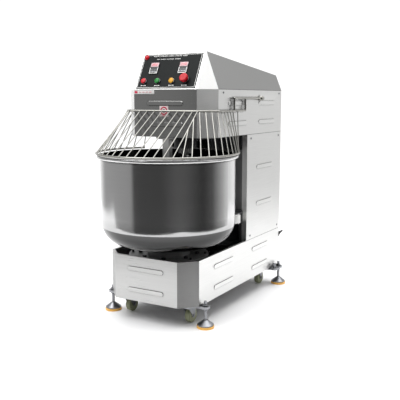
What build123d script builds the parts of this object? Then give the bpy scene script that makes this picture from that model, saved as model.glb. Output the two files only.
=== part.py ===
from build123d import *
import os
from math import asin, atan2, cos, degrees, pi, radians, sin, sqrt, tan

# Spiral dough mixer. Millimetres. While modelling, y = 0 is the front face of the head,
# +Y runs to the back and z = 0 is the floor; save() then moves the origin to the middle of
# the footprint.

# ---- cabinet ----
half_width = 260.0          # centre line to the side panels
body_depth = 853.0          # head front to the rear cover
sheet = 2.0                 # thickness of every cover sheet
base_bottom = 109.0
base_top = 335.0
base_front = -186.0         # y of the base's front face
base_front_half = half_width - 77.0     # half width of that face between its chamfers
base_chamfer_depth = 77.0
tray_lip = 14.0             # inward fold round the open top of the base
column_flange = 28.0        # inward fold at the column's front corners
front_plate_bottom = base_top + 96.0
front_plate_top = base_top + 496.0
head_bottom = base_top + 578.0
head_top = head_bottom + 235.0
head_front_half = half_width - 76.0
head_chamfer_depth = 78.0
hood_rise = 183.0
hood_top = head_top + hood_rise
hood_front_top = 92.5       # y where the control slope meets the roof
hood_rear_drop = 94.0       # fall of the roof from front to back
roof_side_lean = 75.0 / hood_rise
rib_length = 210.0          # pressed stiffening ribs
rib_height = 23.0
rib_rise = 3.0
rib_taper = 30.0
louvre_rows = 6
louvre_half = 90.0
louvre_bottom = 560.0
louvre_pitch = 26.0
louvre_slot = 8.0

# ---- frame ----
floor_plate = 6.0
post = 40.0
post_inset = 5.0
rail_height = 40.0
motor_rail_top = base_bottom + 141.0
motor_plate = 10.0
motor_plate_half = 110.0    # half depth of the bowl motor's plate
post_gap = 7.0              # posts to the column's front and the rear cover
head_plate = 6.0
head_beam_x = 165.0
head_beam_width = 40.0
head_beam_height = 50.0

# ---- bowl and its drive ----
bowl_y = 28.0
bowl_radius = 340.0
bowl_wall = 3.5
bowl_bottom = base_top + 39.0
bowl_fillet = 120.0
rim_flare = 16.0            # rolled rim beyond the bowl's side
rim_top = base_top + 493.0
rim_height = 17.0
carrier_radius = 110.0
rim_radius = bowl_radius + rim_flare
column_gap = 17.0           # bowl's rim to the column
column_front = bowl_y + rim_radius + column_gap
disc_radius = 204.0
disc_top = base_top - 17.0
disc_thickness = 12.0
bolt_circles = ((148.0, 12.0, 8), (188.0, 7.0, 8))   # radius, head radius, count
bolt_head = 9.0
hub_radius = 75.0
bowl_shaft_radius = 30.0
bowl_pulley_radius = 180.0
bowl_motor_pulley_radius = 45.0
bowl_pulley_z = base_bottom + 91.0
pulley_height = 40.0
bearing_width = 22.0
bowl_bearing_radius = 55.0
bowl_housing_radius = 72.0
bowl_housing_top = bowl_pulley_z - 10.0
column_depth = body_depth - column_front
bowl_motor_radius = 0.188 * column_depth
bowl_motor_height = 255.0
motor_y = column_front + 0.529 * column_depth
running_gap = 0.05          # radial clearance of running fits
belt_thickness = 8.0
belt_gap = 0.5              # belts clear the turning pulleys by this
belt_margin = 4.0           # pulley face left bare on each side of a belt

# ---- spiral and its drive ----
spiral_y = 200.0
spiral_bar_radius = 17.0
spiral_radius = 133.0       # axis to the middle of the bar
spiral_turns = 1.5
spiral_shaft_radius = 25.0
hook_hub_radius = 40.0
hook_hub_height = 26.0
floor_clearance = 6.0       # spiral to bowl
housing_flange_radius = 155.0
housing_flange = 15.0
housing_radius = 60.0
housing_bottom = head_bottom - 63.0
housing_top = head_bottom + 47.0
spiral_bearing_radius = 45.0
spiral_pulley_radius = 150.0
spiral_motor_pulley_radius = 50.0
spiral_pulley_z = head_bottom + 62.0
spiral_motor_radius = 0.221 * column_depth
spiral_motor_height = 300.0
motor_shaft_radius = 14.0
motor_flange = 14.0         # thickness of both motors' mounting flanges
motor_flange_proud = 12.0
breaker_y = 22.0
breaker_width = 43.0
breaker_depth = 30.0
breaker_bottom = bowl_bottom + 38.0

# ---- guard ----
guard_ring_radius = rim_radius + 2.0
guard_ring_z = rim_top + 8.0
guard_rod = 5.0             # radius of ring, rail and arms
guard_wire = 2.5            # radius of the bars between them
ring_end_x = half_width + 29.6       # the ring stops beside the cabinet
guard_ring_end = 180.0 - degrees(asin(ring_end_x / guard_ring_radius))   # from the front
guard_wires = 50            # to a full circle
last_bar = 200.0            # side rail's front end to the hindmost bar
rail_z = head_bottom + 129.0
rail_x = half_width + 12.0
rail_front = -22.0
rail_corner_x = rail_x - 72.0
rail_side_front = 62.0
rail_rear = 350.0
arm_z = head_top - 43.0
arm_front = 225.0
pivot_y = 547.0
pivot_radius = 5.0
eye_radius = 12.0
eye_start = half_width + 4.5
eye_end = eye_start + 15.0

# ---- controls ----
panel_half_width = head_front_half - 12.0
panel_low = 5.0             # distances up the slope from its lower edge
panel_high = 196.0
panel_thickness = 2.0
button_s = 43.0
button_xs = {"stop_button": -133.0, "start_button": -51.0, "inch_button": 32.0}
button_radius = 12.0
button_travel = 4.0
button_proud = 9.0
bezel_radius = 15.5
bezel_height = 5.0
press_gap = 0.4             # cap to bezel
stop_x = 107.0
stop_s = 52.0
stop_radius = 22.0
stop_proud = 27.0
stop_cap_height = 14.0
stop_travel = 5.0
stem_radius = 8.0
switch_depth = 45.0
lamp_x = -155.0
lamp_s = 179.0
lamp_radius = 12.0
lamp_stem_radius = 6.0
lamp_depth = 15.0
timer_xs = (-91.5, 79.0)
timer_width = 48.0
timer_low = 86.0
timer_high = 146.0
timer_proud = 4.0
timer_depth = 60.0
timer_lip = 6.0             # bezel wider than the case behind it

# ---- guide rollers ----
roller_radius = 36.0
roller_height = 44.0
roller_z = bowl_bottom + 92.0
roller_angle = 54.8         # degrees from +X round the bowl's axis
roller_gap = 0.5
roller_pin_radius = 6.0
bracket_plate = 5.0

# ---- feet and castors ----
foot_x = half_width + 20.0
foot_front = base_front + 104.0
foot_rear = body_depth - 43.0
rear_stud_y = foot_rear - 60.0
pad_radius = 42.5
pad_height = 12.0
foot_disc_radius = 40.0
foot_disc_height = 28.0
foot_stem_radius = 7.5
foot_stem_top = 134.0
lug_thickness = 12.0
lug_radius = 22.0
lug_inner_x = half_width - 26.0
nut_radius = 13.0
nut_height = 9.0
castor_x = half_width - 80.0
castor_front = base_front + 111.0    # y of the front swivel axes
castor_rear = body_depth - 107.0     # y of the rear wheel axles
castor_trail = 22.0
wheel_radius = 37.5
wheel_width = 28.0
wheel_clearance = 2.5       # wheels clear the floor while the feet are down
castor_plate = 4.0
castor_plate_half = 38.0
castor_neck_radius = 20.0
castor_neck = 9.0
fork_plate = 3.0
axle_radius = 5.0
side_gap = 0.5

# ---- supply cable ----
gland_x = 240.0
gland_z = 293.0
gland_radius = 25.0
gland_length = 40.0
cord_radius = 5.0
coil_x = -90.0
coil_y = body_depth + 122.0
coil_radius = 55.0          # middle of the turns
coil_layers = 2
plug_radius = 24.0
plug_length = 92.0
cord_steps = ((240, 40, 293), (240, 112, 293), (205, 167, 272), (150, 187, 215), (112, 189, 140),
              (95, 189, 66), (62, 185, 18), (5, 182, 5.2), (-50, 182, 5.2))
cord_route = [(x, body_depth + behind, z) for x, behind, z in cord_steps]

origin_y = (bowl_y - guard_ring_radius - guard_rod + body_depth) / 2

os.makedirs("parts", exist_ok=True)


def save(name, *solids):
    shape = solids[0] if len(solids) == 1 else Compound(children=list(solids))
    export_step(Pos(0, -origin_y, 0) * shape, f"parts/{name}.step")


def block(x0, x1, y0, y1, z0, z1):
    return Pos((x0 + x1) / 2, (y0 + y1) / 2, (z0 + z1) / 2) * Box(x1 - x0, y1 - y0, z1 - z0)


def disc(x, y, z0, z1, radius):
    return Pos(x, y, (z0 + z1) / 2) * Cylinder(radius, z1 - z0)


def rod(start, end, radius):
    line = Line(start, end)
    return sweep(Plane(origin=start, z_dir=line % 0) * Circle(radius), path=line)


def tube(points, radii, radius):
    path = FilletPolyline(*points, radius=radii)
    return sweep(Plane(origin=path @ 0, z_dir=path % 0) * Circle(radius), path=path)


def mirrored(solid):
    return mirror(solid, about=Plane.YZ)


def outline(front_y, front_half, chamfer_depth, rear_y, inset):
    """Plan of the cabinet, with chamfered front corners, moved in by inset."""
    face = make_face(Polyline((-front_half, front_y), (front_half, front_y),
                              (half_width, front_y + chamfer_depth), (half_width, rear_y),
                              (-half_width, rear_y), (-half_width, front_y + chamfer_depth),
                              close=True))
    return offset(face, amount=-inset, kind=Kind.INTERSECTION) if inset else face


def prism(plan, z0, z1):
    return Pos(0, 0, z0) * extrude(plan, z1 - z0)


def front_rib(y, z):
    plane = Plane(origin=(0, y, z), x_dir=(1, 0, 0), z_dir=(0, -1, 0))
    return rib_pair(plane)


def side_rib(y, z):
    plane = Plane(origin=(half_width, y, z), x_dir=(0, 1, 0), z_dir=(1, 0, 0))
    return rib_pair(plane)


def rib_pair(plane):
    raised = extrude(plane * SlotOverall(rib_length, rib_height), rib_rise, taper=rib_taper)
    hollow = extrude(plane * Pos(0, 0, -sheet) * SlotOverall(rib_length - 2 * sheet, rib_height - 2 * sheet),
                     rib_rise, taper=rib_taper)
    return raised, hollow


def press_ribs(panel, pairs):
    for raised, hollow in pairs:
        panel = panel + raised - hollow
    return panel


# ---- cabinet sheets ----
base_side_front = base_front + base_chamfer_depth
head_side_front = head_chamfer_depth
rib_rows_base = (base_top - 62.0, base_bottom + 57.0)
rib_rows_head = (head_top - 68.0, head_bottom + 64.0)
rib_rows_column = (base_top + 395.0, base_top + 191.0)
rib_ys_base = (144.0, 582.0)
rib_ys_head = (287.0, 646.0)
rib_y_column = 628.0


def base_plan(inset=0.0):
    return outline(base_front, base_front_half, base_chamfer_depth, body_depth - sheet, inset)


def head_plan(inset=0.0):
    return outline(0.0, head_front_half, head_chamfer_depth, body_depth - sheet, inset)


def base_shell():
    wall = prism(base_plan(), base_bottom, base_top) - prism(base_plan(sheet), base_bottom, base_top)
    lip = prism(base_plan(), base_top - sheet, base_top)
    lip -= prism(base_plan(tray_lip), base_top - sheet, base_top)
    lip = lip & block(-half_width, half_width, base_front, column_front - 1, base_top - sheet, base_top)
    return wall + lip


def make_base_panels():
    shell = base_shell()
    front = shell & block(-half_width, half_width, base_front, base_side_front, base_bottom, base_top)
    front = press_ribs(front, [front_rib(base_front, z) for z in rib_rows_base])
    side = shell & block(half_width - tray_lip, half_width, base_side_front, body_depth - sheet,
                         base_bottom, base_top)
    side = press_ribs(side, [side_rib(y, z) for y in rib_ys_base for z in rib_rows_base])
    save("base_front_panel", front)
    save("base_side_panel_right", side)
    save("base_side_panel_left", mirrored(side))


def make_column_panels():
    side = block(half_width - sheet, half_width, column_front, body_depth - sheet, base_top, head_bottom)
    side += block(half_width - column_flange, half_width, column_front, column_front + sheet,
                  base_top, head_bottom)
    side = press_ribs(side, [side_rib(rib_y_column, z) for z in rib_rows_column])
    save("column_side_panel_right", side)
    save("column_side_panel_left", mirrored(side))
    edge = half_width - column_flange
    save("column_front_plate", block(-edge, edge, column_front, column_front + sheet,
                                     front_plate_bottom, front_plate_top))


def make_rear_cover():
    cover = block(-half_width, half_width, body_depth - sheet, body_depth, base_bottom, head_top)
    for row in range(louvre_rows):
        z = louvre_bottom + row * louvre_pitch
        cover -= block(-louvre_half, louvre_half, body_depth - sheet, body_depth, z, z + louvre_slot)
    cover -= Pos(gland_x, body_depth, gland_z) * Rot(90, 0, 0) * Cylinder(cord_radius + 1, 4 * sheet)
    save("rear_cover", cover)


def make_head_panels():
    shell = prism(head_plan(), head_bottom, head_top) - prism(head_plan(sheet), head_bottom, head_top)
    front = shell & block(-half_width, half_width, 0, head_side_front, head_bottom, head_top)
    front = press_ribs(front, [front_rib(0.0, z) for z in rib_rows_head])
    side = shell & block(0, half_width, head_side_front, body_depth - sheet, head_bottom, head_top)
    side = side & block(half_width - sheet, half_width, 0, body_depth, head_bottom, head_top)
    side = press_ribs(side, [side_rib(y, z) for y in rib_ys_head for z in rib_rows_head])
    side -= Pos(half_width, pivot_y, arm_z) * Rot(0, 90, 0) * Cylinder(pivot_radius, 4 * sheet)
    save("head_front_panel", front)
    save("head_side_panel_right", side)
    save("head_side_panel_left", mirrored(side))


def make_head_bottom_plate():
    plate = prism(head_plan(sheet), head_bottom, head_bottom + head_plate)
    plate -= disc(0, spiral_y, head_bottom - 1, head_bottom + head_plate + 1, housing_radius)
    plate -= disc(0, motor_y, head_bottom - 1, head_bottom + head_plate + 1, motor_shaft_radius + 4)
    save("head_bottom_plate", plate)


def hood_faces():
    """Point on each roof plane and its outward direction."""
    slope = atan2(hood_front_top, hood_top - head_top)
    roof_fall = atan2(hood_rear_drop, body_depth - hood_front_top)
    lean = atan2(roof_side_lean, 1.0)
    corner = Plane(origin=(head_front_half, 0, head_top),
                   x_dir=(half_width - head_front_half, head_chamfer_depth, 0),
                   z_dir=Vector(half_width - head_front_half, head_chamfer_depth, 0).cross(
                       Vector(half_width - (hood_top - head_top) * roof_side_lean - head_front_half,
                              hood_front_top, hood_top - head_top)))
    return [((0, 0, head_top), (0, -cos(slope), sin(slope))),
            ((0, hood_front_top, hood_top), (0, sin(roof_fall), cos(roof_fall))),
            ((half_width, 0, head_top), (cos(lean), 0, sin(lean))),
            ((-half_width, 0, head_top), (-cos(lean), 0, sin(lean))),
            (tuple(corner.origin), tuple(corner.z_dir)),
            ((-corner.origin.X, corner.origin.Y, corner.origin.Z),
             (-corner.z_dir.X, corner.z_dir.Y, corner.z_dir.Z))]


def hood_block(inset, bottom):
    solid = block(-half_width, half_width, 0, body_depth - inset, bottom, hood_top + 10)
    for point, direction in hood_faces():
        plane = Plane(origin=Vector(*point) - Vector(*direction).normalized() * inset, z_dir=direction)
        solid = split(solid, bisect_by=plane, keep=Keep.BOTTOM)
    return solid


def slope_plane(x, s):
    """Plane on the control slope, x across and s up from its lower edge, facing out."""
    slope = atan2(hood_front_top, hood_top - head_top)
    return Plane(origin=(x, s * sin(slope), head_top + s * cos(slope)), x_dir=(1, 0, 0),
                 z_dir=(0, -cos(slope), sin(slope)))


def on_slope(x, s, low, high, radius):
    return slope_plane(x, s) * Pos(0, 0, (low + high) / 2) * Cylinder(radius, high - low)


def timer_block(x, low, high, shrink=0.0):
    centre = (timer_low + timer_high) / 2
    return slope_plane(x, centre) * Pos(0, 0, (low + high) / 2) * Box(
        timer_width - shrink, timer_high - timer_low - shrink, high - low)


def make_hood():
    hood = hood_block(0, head_top) - hood_block(sheet, head_top - 1)
    for x in button_xs.values():
        hood -= on_slope(x, button_s, -4 * sheet, 1, button_radius + press_gap)
    hood -= on_slope(stop_x, stop_s, -4 * sheet, 1, button_radius + press_gap)
    hood -= on_slope(lamp_x, lamp_s, -4 * sheet, 1, lamp_stem_radius + press_gap)
    for x in timer_xs:
        hood -= timer_block(x, -4 * sheet, 1, shrink=timer_lip)
    save("hood", hood)


def make_control_panel():
    middle = (panel_low + panel_high) / 2
    panel = slope_plane(0, middle) * Pos(0, 0, panel_thickness / 2) * Box(
        2 * panel_half_width, panel_high - panel_low, panel_thickness)
    for x in button_xs.values():
        panel -= on_slope(x, button_s, -1, panel_thickness + 1, button_radius + press_gap)
    panel -= on_slope(stop_x, stop_s, -1, panel_thickness + 1, button_radius + press_gap)
    panel -= on_slope(lamp_x, lamp_s, -1, panel_thickness + 1, lamp_stem_radius + press_gap)
    for x in timer_xs:
        panel -= timer_block(x, -1, panel_thickness + 1, shrink=timer_lip)
    save("control_panel", panel)


def make_switches():
    """Bezel ring in front of the panel with the contact block behind it, one to a button."""
    bezels = []
    for x, s in [(x, button_s) for x in button_xs.values()] + [(stop_x, stop_s)]:
        bezel = on_slope(x, s, panel_thickness, panel_thickness + bezel_height, bezel_radius)
        bezel += on_slope(x, s, -switch_depth, panel_thickness, button_radius + press_gap)
        bezel -= on_slope(x, s, -switch_depth + 8, panel_thickness + bezel_height + 1, button_radius - 1)
        bezel -= on_slope(x, s, panel_thickness - button_travel - 1, panel_thickness + bezel_height + 1,
                          button_radius + press_gap)
        bezel += on_slope(x, s, -switch_depth - 10, -switch_depth, button_radius + 4)
        bezels.append(bezel)
    save("button_bezels", *bezels)
    for name, x in button_xs.items():
        cap = on_slope(x, button_s, panel_thickness, panel_thickness + button_proud, button_radius)
        cap = fillet(cap.faces().sort_by(Axis.Z).edges().filter_by(GeomType.CIRCLE).sort_by(Axis.Z)[-1:], 2)
        save(name, cap + on_slope(x, button_s, -18, panel_thickness, stem_radius))
    base = panel_thickness + stop_proud - stop_cap_height
    knob = on_slope(stop_x, stop_s, base, panel_thickness + stop_proud, stop_radius)
    knob = fillet(knob.edges().filter_by(GeomType.CIRCLE).sort_by(Axis.Z)[-1:], 6)
    save("emergency_stop", knob + on_slope(stop_x, stop_s, -18, base, stem_radius))
    lamp = on_slope(lamp_x, lamp_s, panel_thickness, panel_thickness + 3, lamp_radius)
    lamp += on_slope(lamp_x, lamp_s, -lamp_depth, panel_thickness, lamp_stem_radius)
    timers = [timer_block(x, panel_thickness, panel_thickness + timer_proud)
              + timer_block(x, -timer_depth, panel_thickness, shrink=timer_lip + press_gap)
              for x in timer_xs]
    save("lamp_and_timers", lamp, *timers)


# ---- frame ----
def make_frame():
    frame = prism(base_plan(sheet), base_bottom, base_bottom + floor_plate)
    outer = half_width - post_inset
    inner = outer - post
    front = column_front + post_gap
    rear = body_depth - post_gap - post
    for x0, x1 in ((inner, outer), (-outer, -inner)):
        for y in (front, rear):
            frame += block(x0, x1, y, y + post, base_bottom + floor_plate, head_bottom)
        for z in (motor_rail_top - rail_height, head_bottom - rail_height):
            frame += block(x0, x1, front + post, rear, z, z + rail_height)
    frame += block(-inner, inner, rear, rear + post, head_bottom - rail_height, head_bottom)
    frame += block(-inner, inner, front, front + post, front_plate_top - 60, front_plate_top - 20)
    plate = block(-outer, outer, motor_y - motor_plate_half, motor_y + motor_plate_half,
                  motor_rail_top, motor_rail_top + motor_plate)
    frame += plate - motor_bore(motor_rail_top, extra=6)
    save("frame", frame)
    beams = Part()
    z = head_bottom + head_plate
    for side in (-1, 1):
        x = side * head_beam_x
        beams += block(x - head_beam_width / 2, x + head_beam_width / 2, 40, body_depth - 40,
                       z, z + head_beam_height)
    beams += block(-head_beam_x, head_beam_x, body_depth - 80, body_depth - 40, z, z + head_beam_height)
    save("head_beams", beams)


# ---- bowl and drive ----
def rounded_drum(radius, z0, z1, corner):
    drum = disc(0, bowl_y, z0, z1, radius)
    return fillet(drum.edges().filter_by(GeomType.CIRCLE).sort_by(Axis.Z)[:1], corner)


def make_bowl():
    bowl = rounded_drum(bowl_radius, bowl_bottom, rim_top - 2, bowl_fillet)
    bead = disc(0, bowl_y, rim_top - rim_height, rim_top, rim_radius)
    bead = fillet(bead.edges().filter_by(GeomType.CIRCLE), rim_height / 2 - 1)
    bowl += bead
    bowl -= rounded_drum(bowl_radius - bowl_wall, bowl_bottom + bowl_wall, rim_top + 1,
                         bowl_fillet - bowl_wall)
    save("bowl", bowl)


def make_turntable():
    table = disc(0, bowl_y, disc_top - disc_thickness, disc_top, disc_radius)
    table += disc(0, bowl_y, disc_top, bowl_bottom, carrier_radius)
    table += disc(0, bowl_y, bowl_pulley_z + pulley_height + 10, disc_top - disc_thickness, hub_radius)
    table -= disc(0, bowl_y, bowl_pulley_z, disc_top - disc_thickness, bowl_shaft_radius)
    save("bowl_turntable", table)
    bolts = []
    for radius, head, count in bolt_circles:
        for k in range(count):
            angle = 2 * pi * (k + 0.5) / count
            bolts.append(Pos(radius * cos(angle), bowl_y + radius * sin(angle), disc_top)
                         * extrude(RegularPolygon(head, 6), bolt_head))
    save("turntable_bolts", *bolts)


def make_bowl_drive():
    z = base_bottom + floor_plate
    housing = disc(0, bowl_y, z, z + 12, bowl_housing_radius + 40)
    housing += disc(0, bowl_y, z, bowl_housing_top, bowl_housing_radius)
    housing -= disc(0, bowl_y, z + 6, bowl_housing_top + 1, bowl_bearing_radius)
    save("bowl_bearing_housing", housing)
    save("bowl_shaft", disc(0, bowl_y, z + 12, disc_top - disc_thickness, bowl_shaft_radius))
    pulley = disc(0, bowl_y, bowl_pulley_z, bowl_pulley_z + pulley_height, bowl_pulley_radius)
    pulley -= disc(0, bowl_y, bowl_pulley_z, bowl_pulley_z + pulley_height, bowl_shaft_radius)
    save("bowl_pulley", pulley)
    small = disc(0, motor_y, bowl_pulley_z, bowl_pulley_z + pulley_height, bowl_motor_pulley_radius)
    save("bowl_motor_pulley", small - motor_bore(bowl_pulley_z))
    base = motor_rail_top + motor_plate
    motor = disc(0, motor_y, base, base + bowl_motor_height, bowl_motor_radius)
    motor += disc(0, motor_y, base, base + motor_flange, bowl_motor_radius + motor_flange_proud)
    motor += disc(0, motor_y, bowl_pulley_z - 4, base, motor_shaft_radius)
    save("bowl_motor", motor)


def motor_bore(z, extra=running_gap):
    return disc(0, motor_y, z - 1, z + pulley_height + 1, motor_shaft_radius + extra)


def bearing(y, z, outer, inner):
    return disc(0, y, z, z + bearing_width, outer) - disc(0, y, z, z + bearing_width, inner + running_gap)


def make_bearings():
    low = base_bottom + floor_plate + 14
    high = bowl_housing_top - bearing_width
    rings = [bearing(bowl_y, z, bowl_bearing_radius, bowl_shaft_radius) for z in (low, high)]
    rings += [bearing(spiral_y, z, spiral_bearing_radius, spiral_shaft_radius)
              for z in (housing_bottom + 8, housing_top - bearing_width - 4)]
    save("shaft_bearings", *rings)


def belt(y0, r0, y1, r1, z):
    """Flat belt round two pulleys, standing belt_gap off them."""
    def loop(extra):
        big, small = r0 + extra, r1 + extra
        lean = asin((big - small) / (y1 - y0))
        corners = [(big * cos(lean), y0 + big * sin(lean)), (small * cos(lean), y1 + small * sin(lean))]
        sides = make_face(Polyline(*corners, *[(-x, y) for x, y in reversed(corners)], close=True))
        return extrude(Pos(0, y0) * Circle(big) + Pos(0, y1) * Circle(small) + sides,
                       pulley_height - 2 * belt_margin)
    return Pos(0, 0, z + belt_margin) * (loop(belt_gap + belt_thickness) - loop(belt_gap))


def make_belts():
    save("bowl_belt", belt(bowl_y, bowl_pulley_radius, motor_y, bowl_motor_pulley_radius, bowl_pulley_z))
    save("spiral_belt", belt(spiral_y, spiral_pulley_radius, motor_y, spiral_motor_pulley_radius,
                             spiral_pulley_z))


# ---- spiral ----
def make_spiral_drive():
    housing = disc(0, spiral_y, head_bottom - housing_flange, head_bottom, housing_flange_radius)
    housing += disc(0, spiral_y, housing_bottom, housing_top, housing_radius)
    housing -= disc(0, spiral_y, housing_bottom - 1, housing_top + 1, spiral_bearing_radius)
    save("spiral_bearing_housing", housing)
    top = spiral_pulley_z + pulley_height
    save("spiral_shaft", disc(0, spiral_y, housing_bottom - 4, top, spiral_shaft_radius))
    pulley = disc(0, spiral_y, spiral_pulley_z, top, spiral_pulley_radius)
    save("spiral_pulley", pulley - disc(0, spiral_y, spiral_pulley_z, top, spiral_shaft_radius))
    small = disc(0, motor_y, spiral_pulley_z, top, spiral_motor_pulley_radius)
    save("spiral_motor_pulley", small - motor_bore(spiral_pulley_z))
    motor = disc(0, motor_y, head_bottom - spiral_motor_height, head_bottom - motor_flange,
                 spiral_motor_radius)
    motor += disc(0, motor_y, head_bottom - motor_flange, head_bottom,
                  spiral_motor_radius + motor_flange_proud)
    motor += disc(0, motor_y, head_bottom, top + 4, motor_shaft_radius)
    save("spiral_motor", motor)


def spiral_reach(z):
    """Largest radius of the bar's middle line that clears the bowl's rounded bottom."""
    corner = bowl_bottom + bowl_fillet
    room = bowl_fillet - bowl_wall - spiral_bar_radius - floor_clearance
    drop = min(max(corner - z, 0.0), room)
    reach = bowl_radius - bowl_fillet + sqrt(room ** 2 - drop ** 2) - (spiral_y - bowl_y)
    return min(spiral_radius, reach)


def spiral_points():
    top = housing_bottom - 4 - hook_hub_height
    bottom = bowl_bottom + bowl_wall + spiral_bar_radius + floor_clearance
    steps = round(spiral_turns * 12)
    points = [(0, spiral_y, top + 6), (0, spiral_y, top - 20)]
    for k in range(1, steps + 1):
        part = k / steps
        angle = 2 * pi * spiral_turns * part
        z = top - 30 + (bottom - top + 30) * part
        spread = min(1.0, 0.25 + 0.75 * part * 4)
        radius = spread * spiral_reach(z)
        points.append((radius * cos(angle), spiral_y + radius * sin(angle), z))
    return points


def corner_radii(points, share=0.45):
    radii = []
    for a, b, c in zip(points, points[1:], points[2:]):
        first = Vector(*b) - Vector(*a)
        second = Vector(*c) - Vector(*b)
        turn = radians(first.get_angle(second))
        radii.append(share * min(first.length, second.length) / tan(turn / 2))
    return radii


def make_hook():
    points = spiral_points()
    bar = tube(points, corner_radii(points), spiral_bar_radius)
    hub_top = housing_bottom - 4
    hook = bar + disc(0, spiral_y, hub_top - hook_hub_height, hub_top, hook_hub_radius)
    hook += Pos(*points[-1]) * Sphere(spiral_bar_radius)
    save("spiral_hook", hook)


def make_breaker_bar():
    bar = block(-breaker_width / 2, breaker_width / 2, breaker_y - breaker_depth / 2,
                breaker_y + breaker_depth / 2, breaker_bottom, head_bottom)
    bar = fillet(bar.edges().filter_by(Axis.Z), 5)
    bar += block(-45, 45, breaker_y - breaker_depth / 2, breaker_y + breaker_depth / 2 + 4,
                 head_bottom - 10, head_bottom)
    save("breaker_bar", bar)


# ---- guard ----
def ring_point(degrees_round):
    angle = radians(degrees_round)
    return (guard_ring_radius * sin(angle), bowl_y - guard_ring_radius * cos(angle), guard_ring_z)


def chamfer_point(part):
    return (rail_corner_x + (rail_x - rail_corner_x) * part,
            rail_front + (rail_side_front - rail_front) * part, rail_z)


def guard_bars():
    """Ends of the bars on the right half, from the front round to the side."""
    pitch = 360.0 / guard_wires
    bars = [(ring_point(k * pitch), (guard_ring_radius * sin(radians(k * pitch)), rail_front, rail_z))
            for k in range(5)]
    corner = (ring_point(5 * pitch), chamfer_point(0.0))
    bars.append(corner)
    for k, part in ((6, 0.62), (7, 0.84)):
        joint = tuple(a + (b - a) * part for a, b in zip(*corner))
        bars.append((ring_point(k * pitch), joint))
    bars += [(ring_point(k * pitch), chamfer_point(0.1 + 0.28 * (k - 8))) for k in range(8, 12)]
    bars += [(ring_point(k * pitch), (rail_x, rail_side_front + 26 + 30 * (k - 12), rail_z))
             for k in range(12, 17)]
    last = ring_point(guard_ring_end - 0.6)
    bars = [bar for bar in bars if bar[0][1] < last[1] - 2 * guard_wire]
    return bars + [(last, (rail_x, rail_side_front + last_bar, rail_z))]


def make_guard():
    arc = CenterArc((0, bowl_y, guard_ring_z), guard_ring_radius, -90 - guard_ring_end, 2 * guard_ring_end)
    ring = sweep(Plane(origin=arc @ 0, z_dir=arc % 0) * Circle(guard_rod), path=arc)
    rail = tube([(-rail_x, rail_rear, rail_z), (-rail_x, rail_side_front, rail_z),
                 (-rail_corner_x, rail_front, rail_z), (rail_corner_x, rail_front, rail_z),
                 (rail_x, rail_side_front, rail_z), (rail_x, rail_rear, rail_z)], 30, guard_rod)
    pieces = [rail]
    for start, end in guard_bars():
        pieces.append(rod(start, end, guard_wire))
        if start[0] > 1:
            pieces.append(mirrored(rod(start, end, guard_wire)))
    for side in (-1, 1):
        x = side * rail_x
        for y in (arm_front, rail_rear):
            pieces.append(rod((x, y, rail_z), (x, y, arm_z), guard_rod))
        pieces.append(rod((x, arm_front, arm_z), (x, pivot_y, arm_z), guard_rod))
        pieces.append(Pos(x, arm_front, arm_z) * Sphere(guard_rod))
        pieces.append(Pos(x, rail_rear, rail_z) * Sphere(guard_rod))
        middle = side * (eye_start + eye_end) / 2
        pieces.append(Pos(middle, pivot_y, arm_z) * Rot(0, 90, 0)
                      * Cylinder(eye_radius, eye_end - eye_start))
    cage = ring.fuse(*pieces)
    for side in (-1, 1):
        cage -= Pos(side * rail_x, pivot_y, arm_z) * Rot(0, 90, 0) * Cylinder(
            pivot_radius + running_gap, 2 * (eye_end - eye_start))
    save("guard_cage", cage)
    pins = []
    for side in (-1, 1):
        pin = along_x(side, half_width - 14, eye_end + 0.5, pivot_radius)
        pin += along_x(side, half_width, eye_start - 0.5, eye_radius - 2)
        pin += along_x(side, eye_end + 0.5, eye_end + 6, eye_radius - 2)
        pin += along_x(side, half_width - 12, half_width - sheet, eye_radius - 2)
        pins.append(pin)
    save("guard_pivot_pins", *pins)


def along_x(side, x0, x1, radius, y=pivot_y, z=arm_z):
    return Pos(side * (x0 + x1) / 2, y, z) * Rot(0, 90, 0) * Cylinder(radius, x1 - x0)


# ---- guide rollers ----
def make_rollers():
    reach = bowl_radius + roller_radius + roller_gap
    angle = radians(roller_angle)
    x, y = reach * cos(angle), bowl_y + reach * sin(angle)
    low, high = roller_z - roller_height / 2, roller_z + roller_height / 2
    roller = disc(x, y, low, high, roller_radius)
    roller = fillet(roller.edges().filter_by(GeomType.CIRCLE), 3)
    roller -= disc(x, y, low - 1, high + 1, roller_pin_radius + running_gap)
    save("guide_roller_right", roller)
    save("guide_roller_left", mirrored(roller))
    bracket = Part()
    for z in (low - side_gap - bracket_plate, high + side_gap):
        bracket += block(x - 16, x + 16, y - 10, column_front, z, z + bracket_plate)
    bracket += disc(x, y, low - side_gap, high + side_gap, roller_pin_radius)
    edge = max(x + 16, half_width - column_flange + 1)
    bracket += block(x - 16, edge, column_front - 5, column_front, low - 15, high + 15)
    save("roller_brackets", bracket, mirrored(bracket))


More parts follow.
